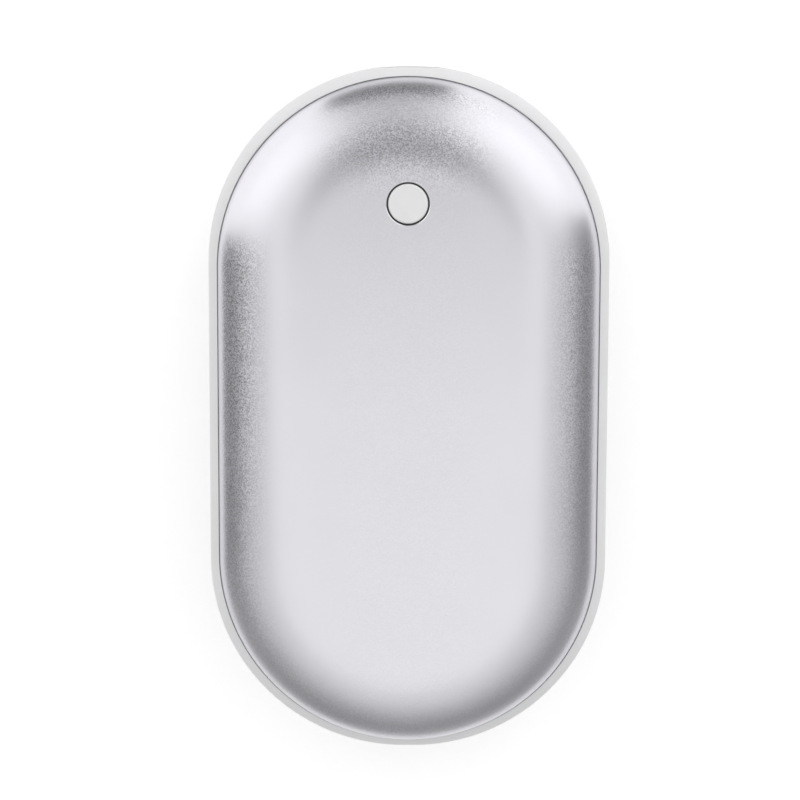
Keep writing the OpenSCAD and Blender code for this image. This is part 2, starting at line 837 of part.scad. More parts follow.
module port_contacts() {
  contact_pitch = 0.5;
  contact_w = 0.25;
  contact_l = 3.6;
  contact_t = 0.08;
  contact_y = 1.9;
  contact_z = 0.35;
  color([0.85, 0.68, 0.25]) at_middle() both_faces()
    for (i = [-5.5 : 1 : 5.5]) translate([i * contact_pitch, port_y + contact_y + contact_l / 2, contact_z])
      block(contact_w, contact_l, contact_t);
}

module at_switch() translate([0, button_y, half_t]) children();

module switch_base() {
  color([0.08, 0.08, 0.09]) at_switch() difference() {
    translate([0, 0, board_z]) block(switch_side, switch_side, switch_base_h);
    translate([0, 0, snap_z]) cylinder(h = switch_base_h, r = snap_r + screw_gap);
  }
}

module switch_cover() {
  color([0.78, 0.78, 0.80]) at_switch() translate([0, 0, cover_z]) difference() {
    block(switch_side, switch_side, cover_t);
    translate([0, 0, -1]) cylinder(h = cover_t + 2, r = plunger_d / 2 + 2 * screw_gap);
  }
}

module switch_plunger() {
  color([0.08, 0.08, 0.09]) at_switch() {
    translate([0, 0, foot_z]) cylinder(h = cover_z - screw_gap - foot_z, r = snap_r);
    translate([0, 0, foot_z]) cylinder(h = stem_z - foot_z, r = plunger_d / 2);
  }
}

// Snap dome: a thin cap of a sphere with its rim on the switch's floor
module switch_dome() {
  dome_t = 0.1;
  rim_r = snap_r - 0.1;
  ball_r = (rim_r * rim_r + snap_h * snap_h) / (2 * snap_h);
  color([0.80, 0.78, 0.70]) at_switch() translate([0, 0, snap_z]) rotate_extrude() intersection() {
    square([rim_r, snap_h]);
    translate([0, snap_h - ball_r]) difference() {
      circle(ball_r);
      circle(ball_r - dome_t);
    }
  }
}

// Lead along points that are given about the middle plane, with a slightly fuller ball at each bend
module lead(points, d) {
  bend_swell = 0.03;
  at_middle() for (i = [0 : len(points) - 2]) {
    run = points[i + 1] - points[i];
    translate(points[i]) rotate([0, acos(run[2] / norm(run)), atan2(run[1], run[0])])
      cylinder(h = norm(run), r = d / 2, $fn = 24);
    if (i > 0) translate(points[i]) sphere(d / 2 + bend_swell, $fn = 24);
  }
}

module positive_lead() {
  z = board_z + lead_drop;
  color([0.75, 0.08, 0.08]) lead([[battery_lead_x, cell_high + strip_t, z],
    [battery_lead_x, battery_lead_y, z], [battery_lead_x, battery_lead_y, board_z]], lead_d);
}

module negative_lead() {
  turn_y = cell_high + strip_t + lead_d / 2 + lead_clear;
  drop_z = strip_w / 2;
  color([0.06, 0.06, 0.07]) lead([[0, cell_low - strip_t, groove_z], [0, turn_y, groove_z],
    [-battery_lead_x, turn_y, drop_z], [-battery_lead_x, battery_lead_y, board_z + lead_d],
    [-battery_lead_x, battery_lead_y, board_z]], lead_d);
}

module heater_leads() {
  track_z = inner_z - film_t - track_t;
  bend_z = track_z - heater_lead_d;
  for (side = [-1, 1]) lead([[side * track_x, pad_end - pad_w / 2, track_z],
    [side * track_x, pad_end - pad_w / 2, bend_z], [side * track_x, heater_lead_y, bend_z - lead_drop],
    [side * track_x, heater_lead_y, board_z]], heater_lead_d);
}

module front_heater_leads() color([0.92, 0.92, 0.90]) heater_leads();

module back_heater_leads() {
  color([0.92, 0.92, 0.90]) translate([0, 0, body_t]) mirror([0, 0, 1]) heater_leads();
}

module thermistor() {
  color([0.45, 0.28, 0.15]) at_middle() translate([0, sensor_y - sensor_l, -sensor_z])
    rotate([-90, 0, 0]) cylinder(h = sensor_l, r = sensor_d / 2);
}

module thermistor_leads() {
  color([0.85, 0.85, 0.82]) for (side = [-1, 1])
    lead([[side * sensor_x, sensor_y, -groove_z], [side * sensor_x, battery_lead_y, -groove_z],
      [side * sensor_x, battery_lead_y, -board_z]], sensor_lead_d);
}

front_shell();
back_shell();
mid_frame();
front_seal();
back_seal();
power_button();
button_guide();
light_pipe();
front_heater_film();
back_heater_film();
front_heater_track();
back_heater_track();
front_insulator();
back_insulator();
left_cell_can();
right_cell_can();
left_cell_core();
right_cell_core();
left_cell_cap();
right_cell_cap();
left_cell_washer();
right_cell_washer();
left_cell_sleeve();
right_cell_sleeve();
positive_strip();
negative_strip();
pack_tape();
lower_cell_bracket();
upper_cell_bracket();
bracket_screws();
main_board();
board_screws();
controller_chip();
power_inductor();
board_capacitors();
indicator_leds();
port_shell();
port_tongue();
port_contacts();
switch_base();
switch_cover();
switch_plunger();
switch_dome();
positive_lead();
negative_lead();
front_heater_leads();
back_heater_leads();
thermistor();
thermistor_leads();
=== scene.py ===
import math

import bmesh
import bpy
from mathutils import Matrix, Vector


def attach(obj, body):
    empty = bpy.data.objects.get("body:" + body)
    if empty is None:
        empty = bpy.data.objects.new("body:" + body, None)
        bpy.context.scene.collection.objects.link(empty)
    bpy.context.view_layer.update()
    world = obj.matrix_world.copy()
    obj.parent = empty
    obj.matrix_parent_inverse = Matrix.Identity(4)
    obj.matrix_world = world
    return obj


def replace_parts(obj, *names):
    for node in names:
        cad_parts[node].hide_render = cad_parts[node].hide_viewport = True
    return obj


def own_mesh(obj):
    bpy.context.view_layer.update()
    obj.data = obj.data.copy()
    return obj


MM = 0.001

# The camera: its distance from the warmer's middle, its lean towards the button end and to the right and
# its roll (these three in radians), how far its axis passes beside the middle, and its focal length in
# pixels of the photograph
MIDDLE_Z = 13 * MM
CAMERA_DISTANCE = 400 * MM
LEAN_UP = 0.1513
LEAN_RIGHT = 0.014
ROLL = -0.0029
BESIDE = (1.266 * MM, -1.635 * MM)
FOCAL_PIXELS = 2645.6
IMAGE_PIXELS = 800
SENSOR_WIDTH = 36  # in millimetres, as Blender takes it

# The shells' plan: end circles of this radius about centres this far from the middle. The radius is
# 0.04 mm over the CAD's, which makes the seam thinner.
SHELL_RADIUS = 28.44 * MM
END_CENTRE = 21.8 * MM

# The front shell's section: a flat, a crown arc next to it, and an edge arc down to the seam and the rim.
# The back shell is the same, upside down.
SHELL_WALL = 0.8 * MM
FACE_Z = 26 * MM
FLAT_RADIUS = 16 * MM
CROWN_RADIUS = 14 * MM
CROWN_ANGLE = math.radians(35)
FLAT_BLEND = 1.9 * MM  # reach, each way from the flat's edge, over which the curve sets in
SEAM_Z = 16.2 * MM
RIM_Z = 16 * MM
RIM_ROUND = 0.12 * MM

# Faces that meet at more than this angle are shaded with a sharp edge between them
SHARP_ANGLE = math.radians(28)

# The button's hole in the front shell, with a cut chamfer
HOLE_Y = 32.3 * MM
HOLE_RADIUS = 3.15 * MM
HOLE_CHAMFER = 0.1 * MM
CHAMFER_DEPTH = 0.06 * MM
FLAT_MARGIN = 0.06 * MM  # a narrow flat border that keeps the shading of the flat plane

# The button: its cap, the flange that keeps it in, and its stem
CAP_RADIUS = 2.9 * MM
CAP_TOP = FACE_Z + 0.1 * MM
CAP_ROUND = 0.35 * MM
FLANGE_RADIUS = 3.7 * MM
FLANGE_Z = (24.35 * MM, 25.15 * MM)
STEM_RADIUS = 1.5 * MM
STEM_Z = 18.6 * MM

# The switch's snap dome on the hole's axis
DOME_RADIUS = 1.95 * MM
DOME_Z = 14.4 * MM
DOME_HEIGHT = 0.6 * MM
DOME_SHEET = 0.1 * MM

# The paleness of the low studio card changes from the sides to its corners over the first of these turns,
# and from there to the lower end over the second, in degrees
CORNER_TURN = 22
CORNER_FADE = 40

# The height near the shells' edge from which the elevation of a studio card is counted
CARD_START_Z = 17 * MM

# The room's light on matt surfaces, where 1 is what the camera and reflections see, and the light that the
# floor gives off, which only the camera, reflections and refractions see
ROOM_LIGHT = 0.75
FLOOR_LIFT = 0.34


def build_camera():
    """A long lens that leans a little towards the button end, as in the photograph."""
    tilt = Matrix.Rotation(LEAN_UP, 3, "X")
    turn = Matrix.Rotation(-LEAN_RIGHT, 3, "Y")
    roll = Matrix.Rotation(ROLL, 3, "Z")
    into_view = roll @ tilt @ turn
    out_of_view = into_view.transposed()
    place = out_of_view @ Vector((-BESIDE[0], -BESIDE[1], CAMERA_DISTANCE))
    data = bpy.data.cameras.new("camera")
    data.sensor_width = SENSOR_WIDTH
    data.lens = FOCAL_PIXELS * SENSOR_WIDTH / IMAGE_PIXELS
    data.clip_start = 0.01
    data.clip_end = 20
    camera = bpy.data.objects.new("camera", data)
    camera.matrix_world = Matrix.Translation(place + Vector((0, 0, MIDDLE_Z))) @ out_of_view.to_4x4()
    bpy.context.scene.collection.objects.link(camera)
    bpy.context.scene.camera = camera


# Node helpers


class Paint:
    """A Principled material whose textures read the piece's own place in metres."""

    def __init__(self, name, colour, roughness, metallic=0.0, **more):
        self.material = bpy.data.materials.new(name)
        self.material.use_nodes = True
        self.tree = self.material.node_tree
        self.shader = self.tree.nodes["Principled BSDF"]
        self.put("Base Color", (*colour, 1))
        self.put("Roughness", roughness)
        self.put("Metallic", metallic)
        for socket, value in more.items():
            self.put(socket.replace("_", " "), value)
        self.position = self.node("ShaderNodeTexCoord").outputs["Object"]
        self.normal = None

    def node(self, kind, **settings):
        made = self.tree.nodes.new(kind)
        for name, value in settings.items():
            setattr(made, name, value)
        return made

    def put(self, socket, value):
        self.shader.inputs[socket].default_value = value

    def link(self, out, into):
        self.tree.links.new(out, into)

    def stretched(self, scale):
        """The position with each axis scaled, for grain that runs one way."""
        mapping = self.node("ShaderNodeMapping")
        mapping.inputs["Scale"].default_value = scale
        self.link(self.position, mapping.inputs["Vector"])
        return mapping.outputs["Vector"]

    def noise(self, scale, detail=2.0, grain=0.5, along=None):
        texture = self.node("ShaderNodeTexNoise")
        texture.inputs["Scale"].default_value = scale
        texture.inputs["Detail"].default_value = detail
        texture.inputs["Roughness"].default_value = grain
        self.link(along or self.position, texture.inputs["Vector"])
        return texture.outputs["Fac"]

    def voronoi(self, scale, feature="F1"):
        texture = self.node("ShaderNodeTexVoronoi", feature=feature)
        texture.inputs["Scale"].default_value = scale
        self.link(self.position, texture.inputs["Vector"])
        return texture.outputs

    def cells(self, scale, feature="F1"):
        """The distance to each cell's point or, with DISTANCE_TO_EDGE, to its edge."""
        return self.voronoi(scale, feature)["Distance"]

    def rings(self, scale, axis, wobble):
        texture = self.node("ShaderNodeTexWave", wave_type="RINGS", rings_direction=axis)
        texture.inputs["Scale"].default_value = scale
        texture.inputs["Distortion"].default_value = wobble
        self.link(self.position, texture.inputs["Vector"])
        return texture.outputs["Fac"]

    def ramp(self, value, low, high, dark, light):
        """The colour that runs from dark to light as the value goes from low to high."""
        made = self.node("ShaderNodeValToRGB")
        first, last = made.color_ramp.elements
        first.position, first.color = low, (*dark, 1)
        last.position, last.color = high, (*light, 1)
        self.link(value, made.inputs["Fac"])
        return made.outputs["Color"]

    def tint(self, value, dark, light, low=0.3, high=0.7):
        self.link(self.ramp(value, low, high, dark, light), self.shader.inputs["Base Color"])

    def level(self, value, low, high, start=0.3, end=0.7):
        """A number that runs from low to high as the value goes from start to end."""
        made = self.node("ShaderNodeMapRange")
        for socket, number in zip(("From Min", "From Max", "To Min", "To Max"), (start, end, low, high)):
            made.inputs[socket].default_value = number
        self.link(value, made.inputs["Value"])
        return made.outputs["Result"]

    def polish(self, value, low, high, start=0.3, end=0.7):
        self.link(self.level(value, low, high, start, end), self.shader.inputs["Roughness"])

    def soften(self, radius):
        """Rounds the look of sharp edges by that radius in metres. It comes before any bump."""
        made = self.node("ShaderNodeBevel", samples=6)
        made.inputs["Radius"].default_value = radius
        self.normal = made.outputs["Normal"]
        self.link(self.normal, self.shader.inputs["Normal"])

    def bump(self, value, depth):
        """Adds relief of that depth in metres to what is there."""
        made = self.node("ShaderNodeBump")
        made.inputs["Distance"].default_value = depth
        made.inputs["Strength"].default_value = 1
        self.link(value, made.inputs["Height"])
        if self.normal:
            self.link(self.normal, made.inputs["Normal"])
        self.normal = made.outputs["Normal"]
        self.link(self.normal, self.shader.inputs["Normal"])

    def product(self, *values):
        total = values[0]
        for value in values[1:]:
            total = self.calculate("MULTIPLY", total, value)
        return total

    def cell_value(self, scale):
        """A number from 0 to 1 that is one value over each small cell."""
        cell_colour = self.voronoi(scale)["Color"]
        split = self.node("ShaderNodeSeparateColor")
        self.link(cell_colour, split.inputs[0])
        return split.outputs[0]

    def facets(self, scale, tilt, strength):
        """Small flat facets, each leaning its own way by up to about half that tilt in radians."""
        cell_colour = self.voronoi(scale)["Color"]
        centred = self.node("ShaderNodeVectorMath", operation="SUBTRACT")
        self.link(cell_colour, centred.inputs[0])
        centred.inputs[1].default_value = (0.5, 0.5, 0.5)
        lean = self.node("ShaderNodeVectorMath", operation="SCALE")
        self.link(centred.outputs[0], lean.inputs[0])
        self.link(self.calculate("MULTIPLY", strength, tilt), lean.inputs["Scale"])
        added = self.node("ShaderNodeVectorMath", operation="ADD")
        self.link(lean.outputs[0], added.inputs[0])
        self.link(self.node("ShaderNodeNewGeometry").outputs["Normal"], added.inputs[1])
        whole = self.node("ShaderNodeVectorMath", operation="NORMALIZE")
        self.link(added.outputs[0], whole.inputs[0])
        self.normal = whole.outputs[0]
        self.link(self.normal, self.shader.inputs["Normal"])

    def axis(self, name):
        """One coordinate of the position."""
        made = self.node("ShaderNodeSeparateXYZ")
        self.link(self.position, made.inputs["Vector"])
        return made.outputs[name]

    def distance_from(self, value, place):
        """How far the value is from that place, on either side."""
        return self.calculate("ABSOLUTE", self.calculate("SUBTRACT", value, place))

    def calculate(self, operation, *values):
        made = self.node("ShaderNodeMath", operation=operation)
        for value, socket in zip(values, made.inputs):
            if isinstance(value, (int, float)):
                socket.default_value = value
            else:
                self.link(value, socket)
        return made.outputs[0]

    def blend(self, mask, first, second):
        """The first colour where the mask is 0, and the second where it is 1."""
        made = self.node("ShaderNodeMix", data_type="RGBA")
        self.link(mask, made.inputs["Factor"])
        first_colour, second_colour, mixed_colour = made.inputs[6], made.inputs[7], made.outputs[2]
        first_colour.default_value = (*first, 1)
        second_colour.default_value = (*second, 1)
        self.link(mixed_colour, self.shader.inputs["Base Color"])


def darker(colour, share):
    return tuple(channel * share for channel in colour)


# Outside materials


def bead_blasted_aluminium():
    """Clear-anodised aluminium. Blasting leaves small facets, and a cell speckle in the colour paints their
    sparkle;
    both are laid on the flanks and the button end, and are weaker on the middle of each face and at the
    lower end."""
    colour = (0.795, 0.788, 0.827)
    paint = Paint("bead_blasted_aluminium", colour, 0.36, 1.0)
    paint.polish(paint.noise(120, 4, 0.6), 0.35, 0.38)
    off_middle = paint.distance_from(paint.axis("Z"), MIDDLE_Z)
    off_rim = paint.level(off_middle, 0.1, 1, start=5.6 * MM, end=7.2 * MM)
    flank = paint.level(off_middle, 1, 0, start=10.4 * MM, end=12.4 * MM)
    along = paint.level(paint.axis("Y"), 0.22, 1, start=-34 * MM, end=4 * MM)
    across = paint.level(paint.axis("X"), 1, 0.55, start=-10 * MM, end=25 * MM)
    before_lamps = paint.level(paint.axis("Y"), 1, 0, start=24 * MM, end=28 * MM)
    sides = paint.product(flank, along, across, before_lamps)
    calm_height = 10.2 * MM  # off the middle, where the grain of the button end is weaker
    off_calm = paint.distance_from(off_middle, calm_height)
    button_end = paint.product(
        paint.level(paint.axis("Y"), 0.06, 0.75, start=33 * MM, end=40 * MM),
        paint.level(off_calm, 0.4, 1, start=0.8 * MM, end=1.9 * MM),
        paint.level(paint.distance_from(paint.axis("X"), 0), 1, 0.06, start=6 * MM, end=14 * MM),
    )
    grain = paint.product(paint.calculate("MAXIMUM", sides, button_end), off_rim)
    # Painted sparkle: where the grain mask is strong, the cells lighten and darken the colour, like facets
    # that catch the light; the patches are the metal's own tone.
    neutral = 0.56  # cells below this value darken and cells above it lighten
    off_neutral = paint.calculate("SUBTRACT", paint.cell_value(6200), neutral)
    patches = paint.level(paint.noise(45, 3), 0.755, 0.78)
    painted_sparkle_and_tone = paint.calculate("ADD", paint.product(off_neutral, grain), patches)
    paint.tint(painted_sparkle_and_tone, darker(colour, 0.33), (0.96, 0.95, 1.0), 0, 1)
    paint.facets(6000, 0.06, grain)
    return paint.material


def cut_aluminium():
    """The bright chamfer that a cutter leaves round the hole after blasting."""
    colour = (0.86, 0.86, 0.88)
    paint = Paint("cut_aluminium", colour, 0.2, 1.0)
    paint.tint(paint.noise(900, 2), darker(colour, 0.95), colour)
    paint.polish(paint.noise(2400, 2), 0.16, 0.26)
    return paint.material


def painted_shade_aluminium():
    """The wall of the hole and the inside of the shells, unpolished, and painted near-black as the shade in
    the hole.
    """
    # Painted shade: aluminium coloured near-black, as the hole's wall in shade.
    colour = (0.16, 0.16, 0.165)
    paint = Paint("painted_shade_aluminium", colour, 0.6, 1.0)
    paint.tint(paint.noise(700, 3), darker(colour, 0.8), colour)
    paint.polish(paint.noise(1500, 3), 0.52, 0.7)
    paint.bump(paint.noise(2600, 2), 0.01 * MM)
    return paint.material


def band_plastic():
    """Pale moulded plastic with a fine spark-eroded texture."""
    colour = (0.80, 0.80, 0.81)
    paint = Paint("pale_band_plastic", colour, 0.42, Specular_IOR_Level=0.4)
    paint.soften(0.14 * MM)
    paint.tint(paint.noise(160, 3), darker(colour, 0.975), colour)
    paint.polish(paint.noise(900, 2), 0.38, 0.48)
    paint.bump(paint.noise(4200, 2), 0.006 * MM)
    return paint.material


def gasket_foam():
    """Closed-cell foam. Its colour is painted paler along the button end and the right side, as light that
    falls into the seam there.
    """
    paint = Paint("gasket_foam", (0.45, 0.45, 0.46), 0.85, Specular_IOR_Level=0.2)
    # Painted light: the foam gets paler towards the button end and the right side, where light falls into
    # the seam.
    at_end = paint.level(paint.axis("Y"), 0, 1, start=14 * MM, end=42 * MM)
    at_right = paint.level(paint.axis("X"), 0, 0.6, start=4 * MM, end=24 * MM)
    painted_seam_light = paint.calculate("MAXIMUM", at_end, at_right)
    uneven = paint.level(paint.noise(2600, 2), -0.08, 0.08)
    paint.tint(paint.calculate("ADD", painted_seam_light, uneven), (0.4, 0.4, 0.41), (0.95, 0.95, 0.96), 0, 1)
    paint.bump(paint.cells(4200), 0.05 * MM)
    return paint.material


def button_plastic():
    """Glossy white plastic. Below the cap's rounded edge it is painted near-black, as the shade in the gap
    round the cap.
    """
    colour = (0.86, 0.86, 0.87)
    paint = Paint("button_plastic", colour, 0.2, Specular_IOR_Level=0.7)
    # Painted shade: the plastic darkens to near-black below the cap's rounded edge, where the gap round the
    # cap is in shade.
    dark_up_to = CAP_TOP - 0.6 * MM
    unshaded_from = CAP_TOP - 0.25 * MM
    out_of_gap = paint.level(paint.axis("Z"), 0, 1, dark_up_to, unshaded_from)
    unshaded_and_tone = paint.product(out_of_gap, paint.level(paint.noise(420, 3), 0.96, 1))
    paint.tint(unshaded_and_tone, darker(colour, 0.06), colour, 0, 1)
    paint.polish(paint.noise(1400, 2), 0.17, 0.24)
    paint.bump(paint.noise(3600, 2), 0.003 * MM)
    return paint.material


def clear_plastic():
    paint = Paint("clear_plastic", (0.93, 0.95, 0.96), 0.08, Transmission_Weight=1.0, IOR=1.49)
    paint.tint(paint.noise(300, 2), (0.88, 0.91, 0.93), (0.94, 0.96, 0.97))
    paint.polish(paint.noise(700, 3), 0.05, 0.14)
    paint.bump(paint.noise(1200, 2), 0.004 * MM)
    return paint.material


def port_steel():
    """Drawn stainless steel, with lines along the draw."""
    colour = (0.66, 0.66, 0.67)
    paint = Paint("port_steel", colour, 0.3, 1.0)
    drawn = paint.noise(1, 3, 0.6, paint.stretched((6000, 500, 6000)))
    paint.tint(drawn, darker(colour, 0.85), colour)
    paint.polish(paint.noise(800, 3), 0.24, 0.4)
    paint.bump(drawn, 0.004 * MM)
    return paint.material


def black_plastic():
    paint = Paint("black_plastic", (0.03, 0.03, 0.032), 0.5, Specular_IOR_Level=0.4)
    paint.tint(paint.noise(500, 3), (0.022, 0.022, 0.024), (0.04, 0.04, 0.043))
    paint.polish(paint.noise(1500, 2), 0.42, 0.6)
    paint.bump(paint.noise(3500, 2), 0.008 * MM)
    return paint.material


def contact_gold():
    paint = Paint("contact_gold", (0.85, 0.62, 0.22), 0.22, 1.0)
    paint.tint(paint.noise(1400, 2), (0.7, 0.48, 0.16), (0.88, 0.66, 0.26))
    paint.polish(paint.noise(2500, 3), 0.16, 0.34)
    paint.bump(paint.noise(1, 2, 0.5, paint.stretched((9000, 900, 9000))), 0.003 * MM)
    return paint.material


# Inside materials


def heater_film():
    """Amber film with a slight crinkle."""
    paint = Paint("heater_film", (0.55, 0.24, 0.04), 0.22, Coat_Weight=0.4, Coat_Roughness=0.08)
    paint.tint(paint.noise(220, 3), (0.42, 0.17, 0.025), (0.6, 0.28, 0.055))
    paint.polish(paint.noise(500, 3), 0.16, 0.32)
    paint.bump(paint.noise(260, 3), 0.04 * MM)
    return paint.material


def heater_foil():
    paint = Paint("heater_foil", (0.78, 0.42, 0.26), 0.32, 1.0)
    paint.tint(paint.noise(600, 4), (0.6, 0.3, 0.17), (0.82, 0.46, 0.3))
    paint.polish(paint.noise(1300, 3), 0.24, 0.42)
    paint.bump(paint.noise(3000, 2), 0.005 * MM)
    return paint.material


def insulator_board():
    """Pressed fibre board, its fibres lying flat."""
    paint = Paint("insulator_board", (0.62, 0.56, 0.43), 0.8, Specular_IOR_Level=0.2)
    fibres = paint.noise(1, 5, 0.7, paint.stretched((900, 2600, 4000)))
    paint.tint(fibres, (0.5, 0.44, 0.32), (0.68, 0.62, 0.49))
    paint.polish(fibres, 0.7, 0.9)
    paint.bump(fibres, 0.03 * MM)
    return paint.material


def rolled_metal(name, colour, roughness, grain, tarnish):
    """Plated or rolled sheet: fine lines one way, and patches a little duller than the rest."""
    paint = Paint(name, colour, roughness, 1.0)
    lines = paint.noise(1, 3, 0.6, paint.stretched(grain))
    paint.tint(paint.noise(260, 4), darker(colour, tarnish), colour)
    paint.polish(lines, roughness - 0.06, roughness + 0.1)
    paint.bump(lines, 0.004 * MM)
    return paint.material


def cell_steel():
    return rolled_metal("cell_steel", (0.58, 0.58, 0.6), 0.3, (2500, 300, 2500), 0.88)


def cell_cap_steel():
    return rolled_metal("cell_cap_steel", (0.7, 0.7, 0.72), 0.24, (1800, 1800, 1800), 0.9)


def nickel_strip():
    return rolled_metal("nickel_strip", (0.66, 0.64, 0.6), 0.34, (300, 3000, 3000), 0.86)


def screw_steel():
    return rolled_metal("screw_steel", (0.5, 0.5, 0.53), 0.32, (2400, 2400, 2400), 0.8)


def dome_steel():
    return rolled_metal("dome_steel", (0.75, 0.73, 0.66), 0.2, (500, 4000, 4000), 0.92)


def cell_winding():
    """Wound electrode foils: thin layers that alternate from the axis outwards."""
    paint = Paint("cell_winding", (0.16, 0.16, 0.18), 0.5, 1.0)
    layers = paint.rings(1500, "Y", 1.5)
    paint.tint(layers, (0.07, 0.07, 0.08), (0.3, 0.3, 0.33), 0.2, 0.8)
    paint.polish(layers, 0.4, 0.62)
    paint.bump(layers, 0.02 * MM)
    return paint.material


def washer_card():
    paint = Paint("washer_card", (0.82, 0.81, 0.76), 0.8, Specular_IOR_Level=0.2)
    fibres = paint.noise(3000, 4, 0.65)
    paint.tint(fibres, (0.74, 0.73, 0.67), (0.86, 0.85, 0.81))
    paint.polish(fibres, 0.72, 0.88)
    paint.bump(fibres, 0.012 * MM)
    return paint.material


def sleeve_film():
    """Shrunk film that takes on slight waves round the can."""
    paint = Paint("sleeve_film", (0.02, 0.2, 0.34), 0.25, Coat_Weight=0.3, Coat_Roughness=0.1)
    paint.tint(paint.noise(180, 3), (0.015, 0.16, 0.28), (0.025, 0.23, 0.38))
    paint.polish(paint.noise(700, 3), 0.2, 0.36)
    paint.bump(paint.noise(1, 3, 0.5, paint.stretched((400, 120, 400))), 0.03 * MM)
    return paint.material


def amber_tape():
    paint = Paint("amber_tape", (0.66, 0.42, 0.05), 0.28, Coat_Weight=0.3, Coat_Roughness=0.1)
    paint.tint(paint.noise(320, 3), (0.55, 0.33, 0.035), (0.72, 0.48, 0.075))
    paint.polish(paint.noise(900, 3), 0.2, 0.38)
    paint.bump(paint.noise(1, 3, 0.5, paint.stretched((250, 1400, 250))), 0.02 * MM)
    return paint.material


def bracket_plastic():
    """Glass-filled plastic, its fibres just showing as pale streaks."""
    paint = Paint("bracket_plastic", (0.035, 0.035, 0.04), 0.55, Specular_IOR_Level=0.4)
    fibres = paint.noise(1, 4, 0.7, paint.stretched((1600, 5000, 3000)))
    paint.tint(fibres, (0.028, 0.028, 0.032), (0.06, 0.06, 0.066), 0.45, 0.75)
    paint.polish(fibres, 0.48, 0.66)
    paint.bump(paint.noise(3200, 2), 0.012 * MM)
    return paint.material


def board_laminate():
    """Green solder mask over copper tracks, which stand out a little and look lighter."""
    paint = Paint("board_laminate", (0.01, 0.1, 0.035), 0.3, Coat_Weight=0.4, Coat_Roughness=0.12)
    tracks = paint.level(paint.cells(320, "DISTANCE_TO_EDGE"), 1, 0, 0.06, 0.09)
    paint.blend(tracks, (0.006, 0.085, 0.03), (0.02, 0.17, 0.06))
    paint.polish(paint.noise(1200, 3), 0.24, 0.4)
    paint.bump(tracks, 0.02 * MM)
    return paint.material


def chip_plastic():
    paint = Paint("chip_plastic", (0.02, 0.02, 0.022), 0.6, Specular_IOR_Level=0.35)
    paint.tint(paint.noise(4200, 3, 0.6), (0.014, 0.014, 0.016), (0.032, 0.032, 0.035))
    paint.polish(paint.noise(1800, 2), 0.52, 0.7)
    paint.bump(paint.noise(6000, 2), 0.01 * MM)
    return paint.material


def inductor_ferrite():
    paint = Paint("inductor_ferrite", (0.06, 0.06, 0.064), 0.7, Specular_IOR_Level=0.3)
    paint.tint(paint.cells(3600), (0.035, 0.035, 0.038), (0.09, 0.09, 0.095), 0.1, 0.8)
    paint.polish(paint.noise(1600, 3), 0.6, 0.82)
    paint.bump(paint.noise(2600, 4, 0.65), 0.03 * MM)
    return paint.material


def capacitor_ceramic():
    """Tan ceramic bodies between tinned ends."""
    paint = Paint("capacitor_ceramic", (0.5, 0.37, 0.22), 0.4, Specular_IOR_Level=0.5)
    paint.tint(paint.noise(2400, 3), (0.42, 0.3, 0.17), (0.56, 0.43, 0.27))
    paint.polish(paint.noise(2000, 2), 0.32, 0.5)
    paint.bump(paint.noise(5200, 2), 0.008 * MM)
    return paint.material


def light_resin():
    paint = Paint("light_resin", (0.9, 0.88, 0.7), 0.2, Transmission_Weight=0.4, IOR=1.5)
    paint.tint(paint.noise(2200, 2), (0.85, 0.82, 0.6), (0.93, 0.92, 0.78))
    paint.polish(paint.noise(1600, 2), 0.14, 0.28)
    paint.bump(paint.noise(2800, 2), 0.004 * MM)
    return paint.material


def insulation(name, colour):
    """Extruded insulation, with the faint lengthwise ripple of the die."""
    paint = Paint(name, colour, 0.42, Specular_IOR_Level=0.45)
    paint.tint(paint.noise(500, 3), darker(colour, 0.86), colour)
    paint.polish(paint.noise(1100, 3), 0.34, 0.52)
    paint.bump(paint.noise(1500, 3), 0.012 * MM)
    return paint.material


def red_insulation():
    return insulation("red_insulation", (0.55, 0.02, 0.02))


def black_insulation():
    return insulation("black_insulation", (0.022, 0.022, 0.025))


def white_insulation():
    return insulation("white_insulation", (0.8, 0.8, 0.78))


def sensor_resin():
    """Dipped resin with the soft sags of dipping."""
    paint = Paint("sensor_resin", (0.2, 0.09, 0.035), 0.25, Coat_Weight=0.3, Coat_Roughness=0.06)
    paint.tint(paint.noise(700, 3), (0.14, 0.06, 0.02), (0.25, 0.12, 0.05))
    paint.polish(paint.noise(900, 2), 0.18, 0.34)
    paint.bump(paint.noise(600, 2), 0.06 * MM)
    return paint.material


FINISHES = {
    "shell_aluminium": bead_blasted_aluminium,
    "band_plastic": band_plastic,
    "gasket_foam": gasket_foam,
    "button_plastic": button_plastic,
    "black_plastic": black_plastic,
    "clear_plastic": clear_plastic,
    "heater_film": heater_film,
    "heater_foil": heater_foil,
    "insulator_board": insulator_board,
    "cell_steel": cell_steel,
    "cell_winding": cell_winding,
    "cell_cap_steel": cell_cap_steel,
    "washer_card": washer_card,
    "sleeve_film": sleeve_film,
    "nickel_strip": nickel_strip,
    "amber_tape": amber_tape,
    "bracket_plastic": bracket_plastic,
    "screw_steel": screw_steel,
    "board_laminate": board_laminate,
    "chip_plastic": chip_plastic,
    "inductor_ferrite": inductor_ferrite,
    "capacitor_ceramic": capacitor_ceramic,
    "light_resin": light_resin,
    "port_steel": port_steel,
    "contact_gold": contact_gold,
    "dome_steel": dome_steel,
    "red_insulation": red_insulation,
    "black_insulation": black_insulation,
    "white_insulation": white_insulation,
    "sensor_resin": sensor_resin,
}


def dress_nodes(nodes):
    """Gives every CAD node the finish of the material slot that it was packed with."""
    finishes = {slot: make() for slot, make in FINISHES.items()}
    for node in nodes.values():
        slots = [material.name for material in node.data.materials]
        for place, slot in zip(node.material_slots, slots):
            place.material = finishes[slot]
    return finishes


# The pieces made here: two shells, the button and the snap dome


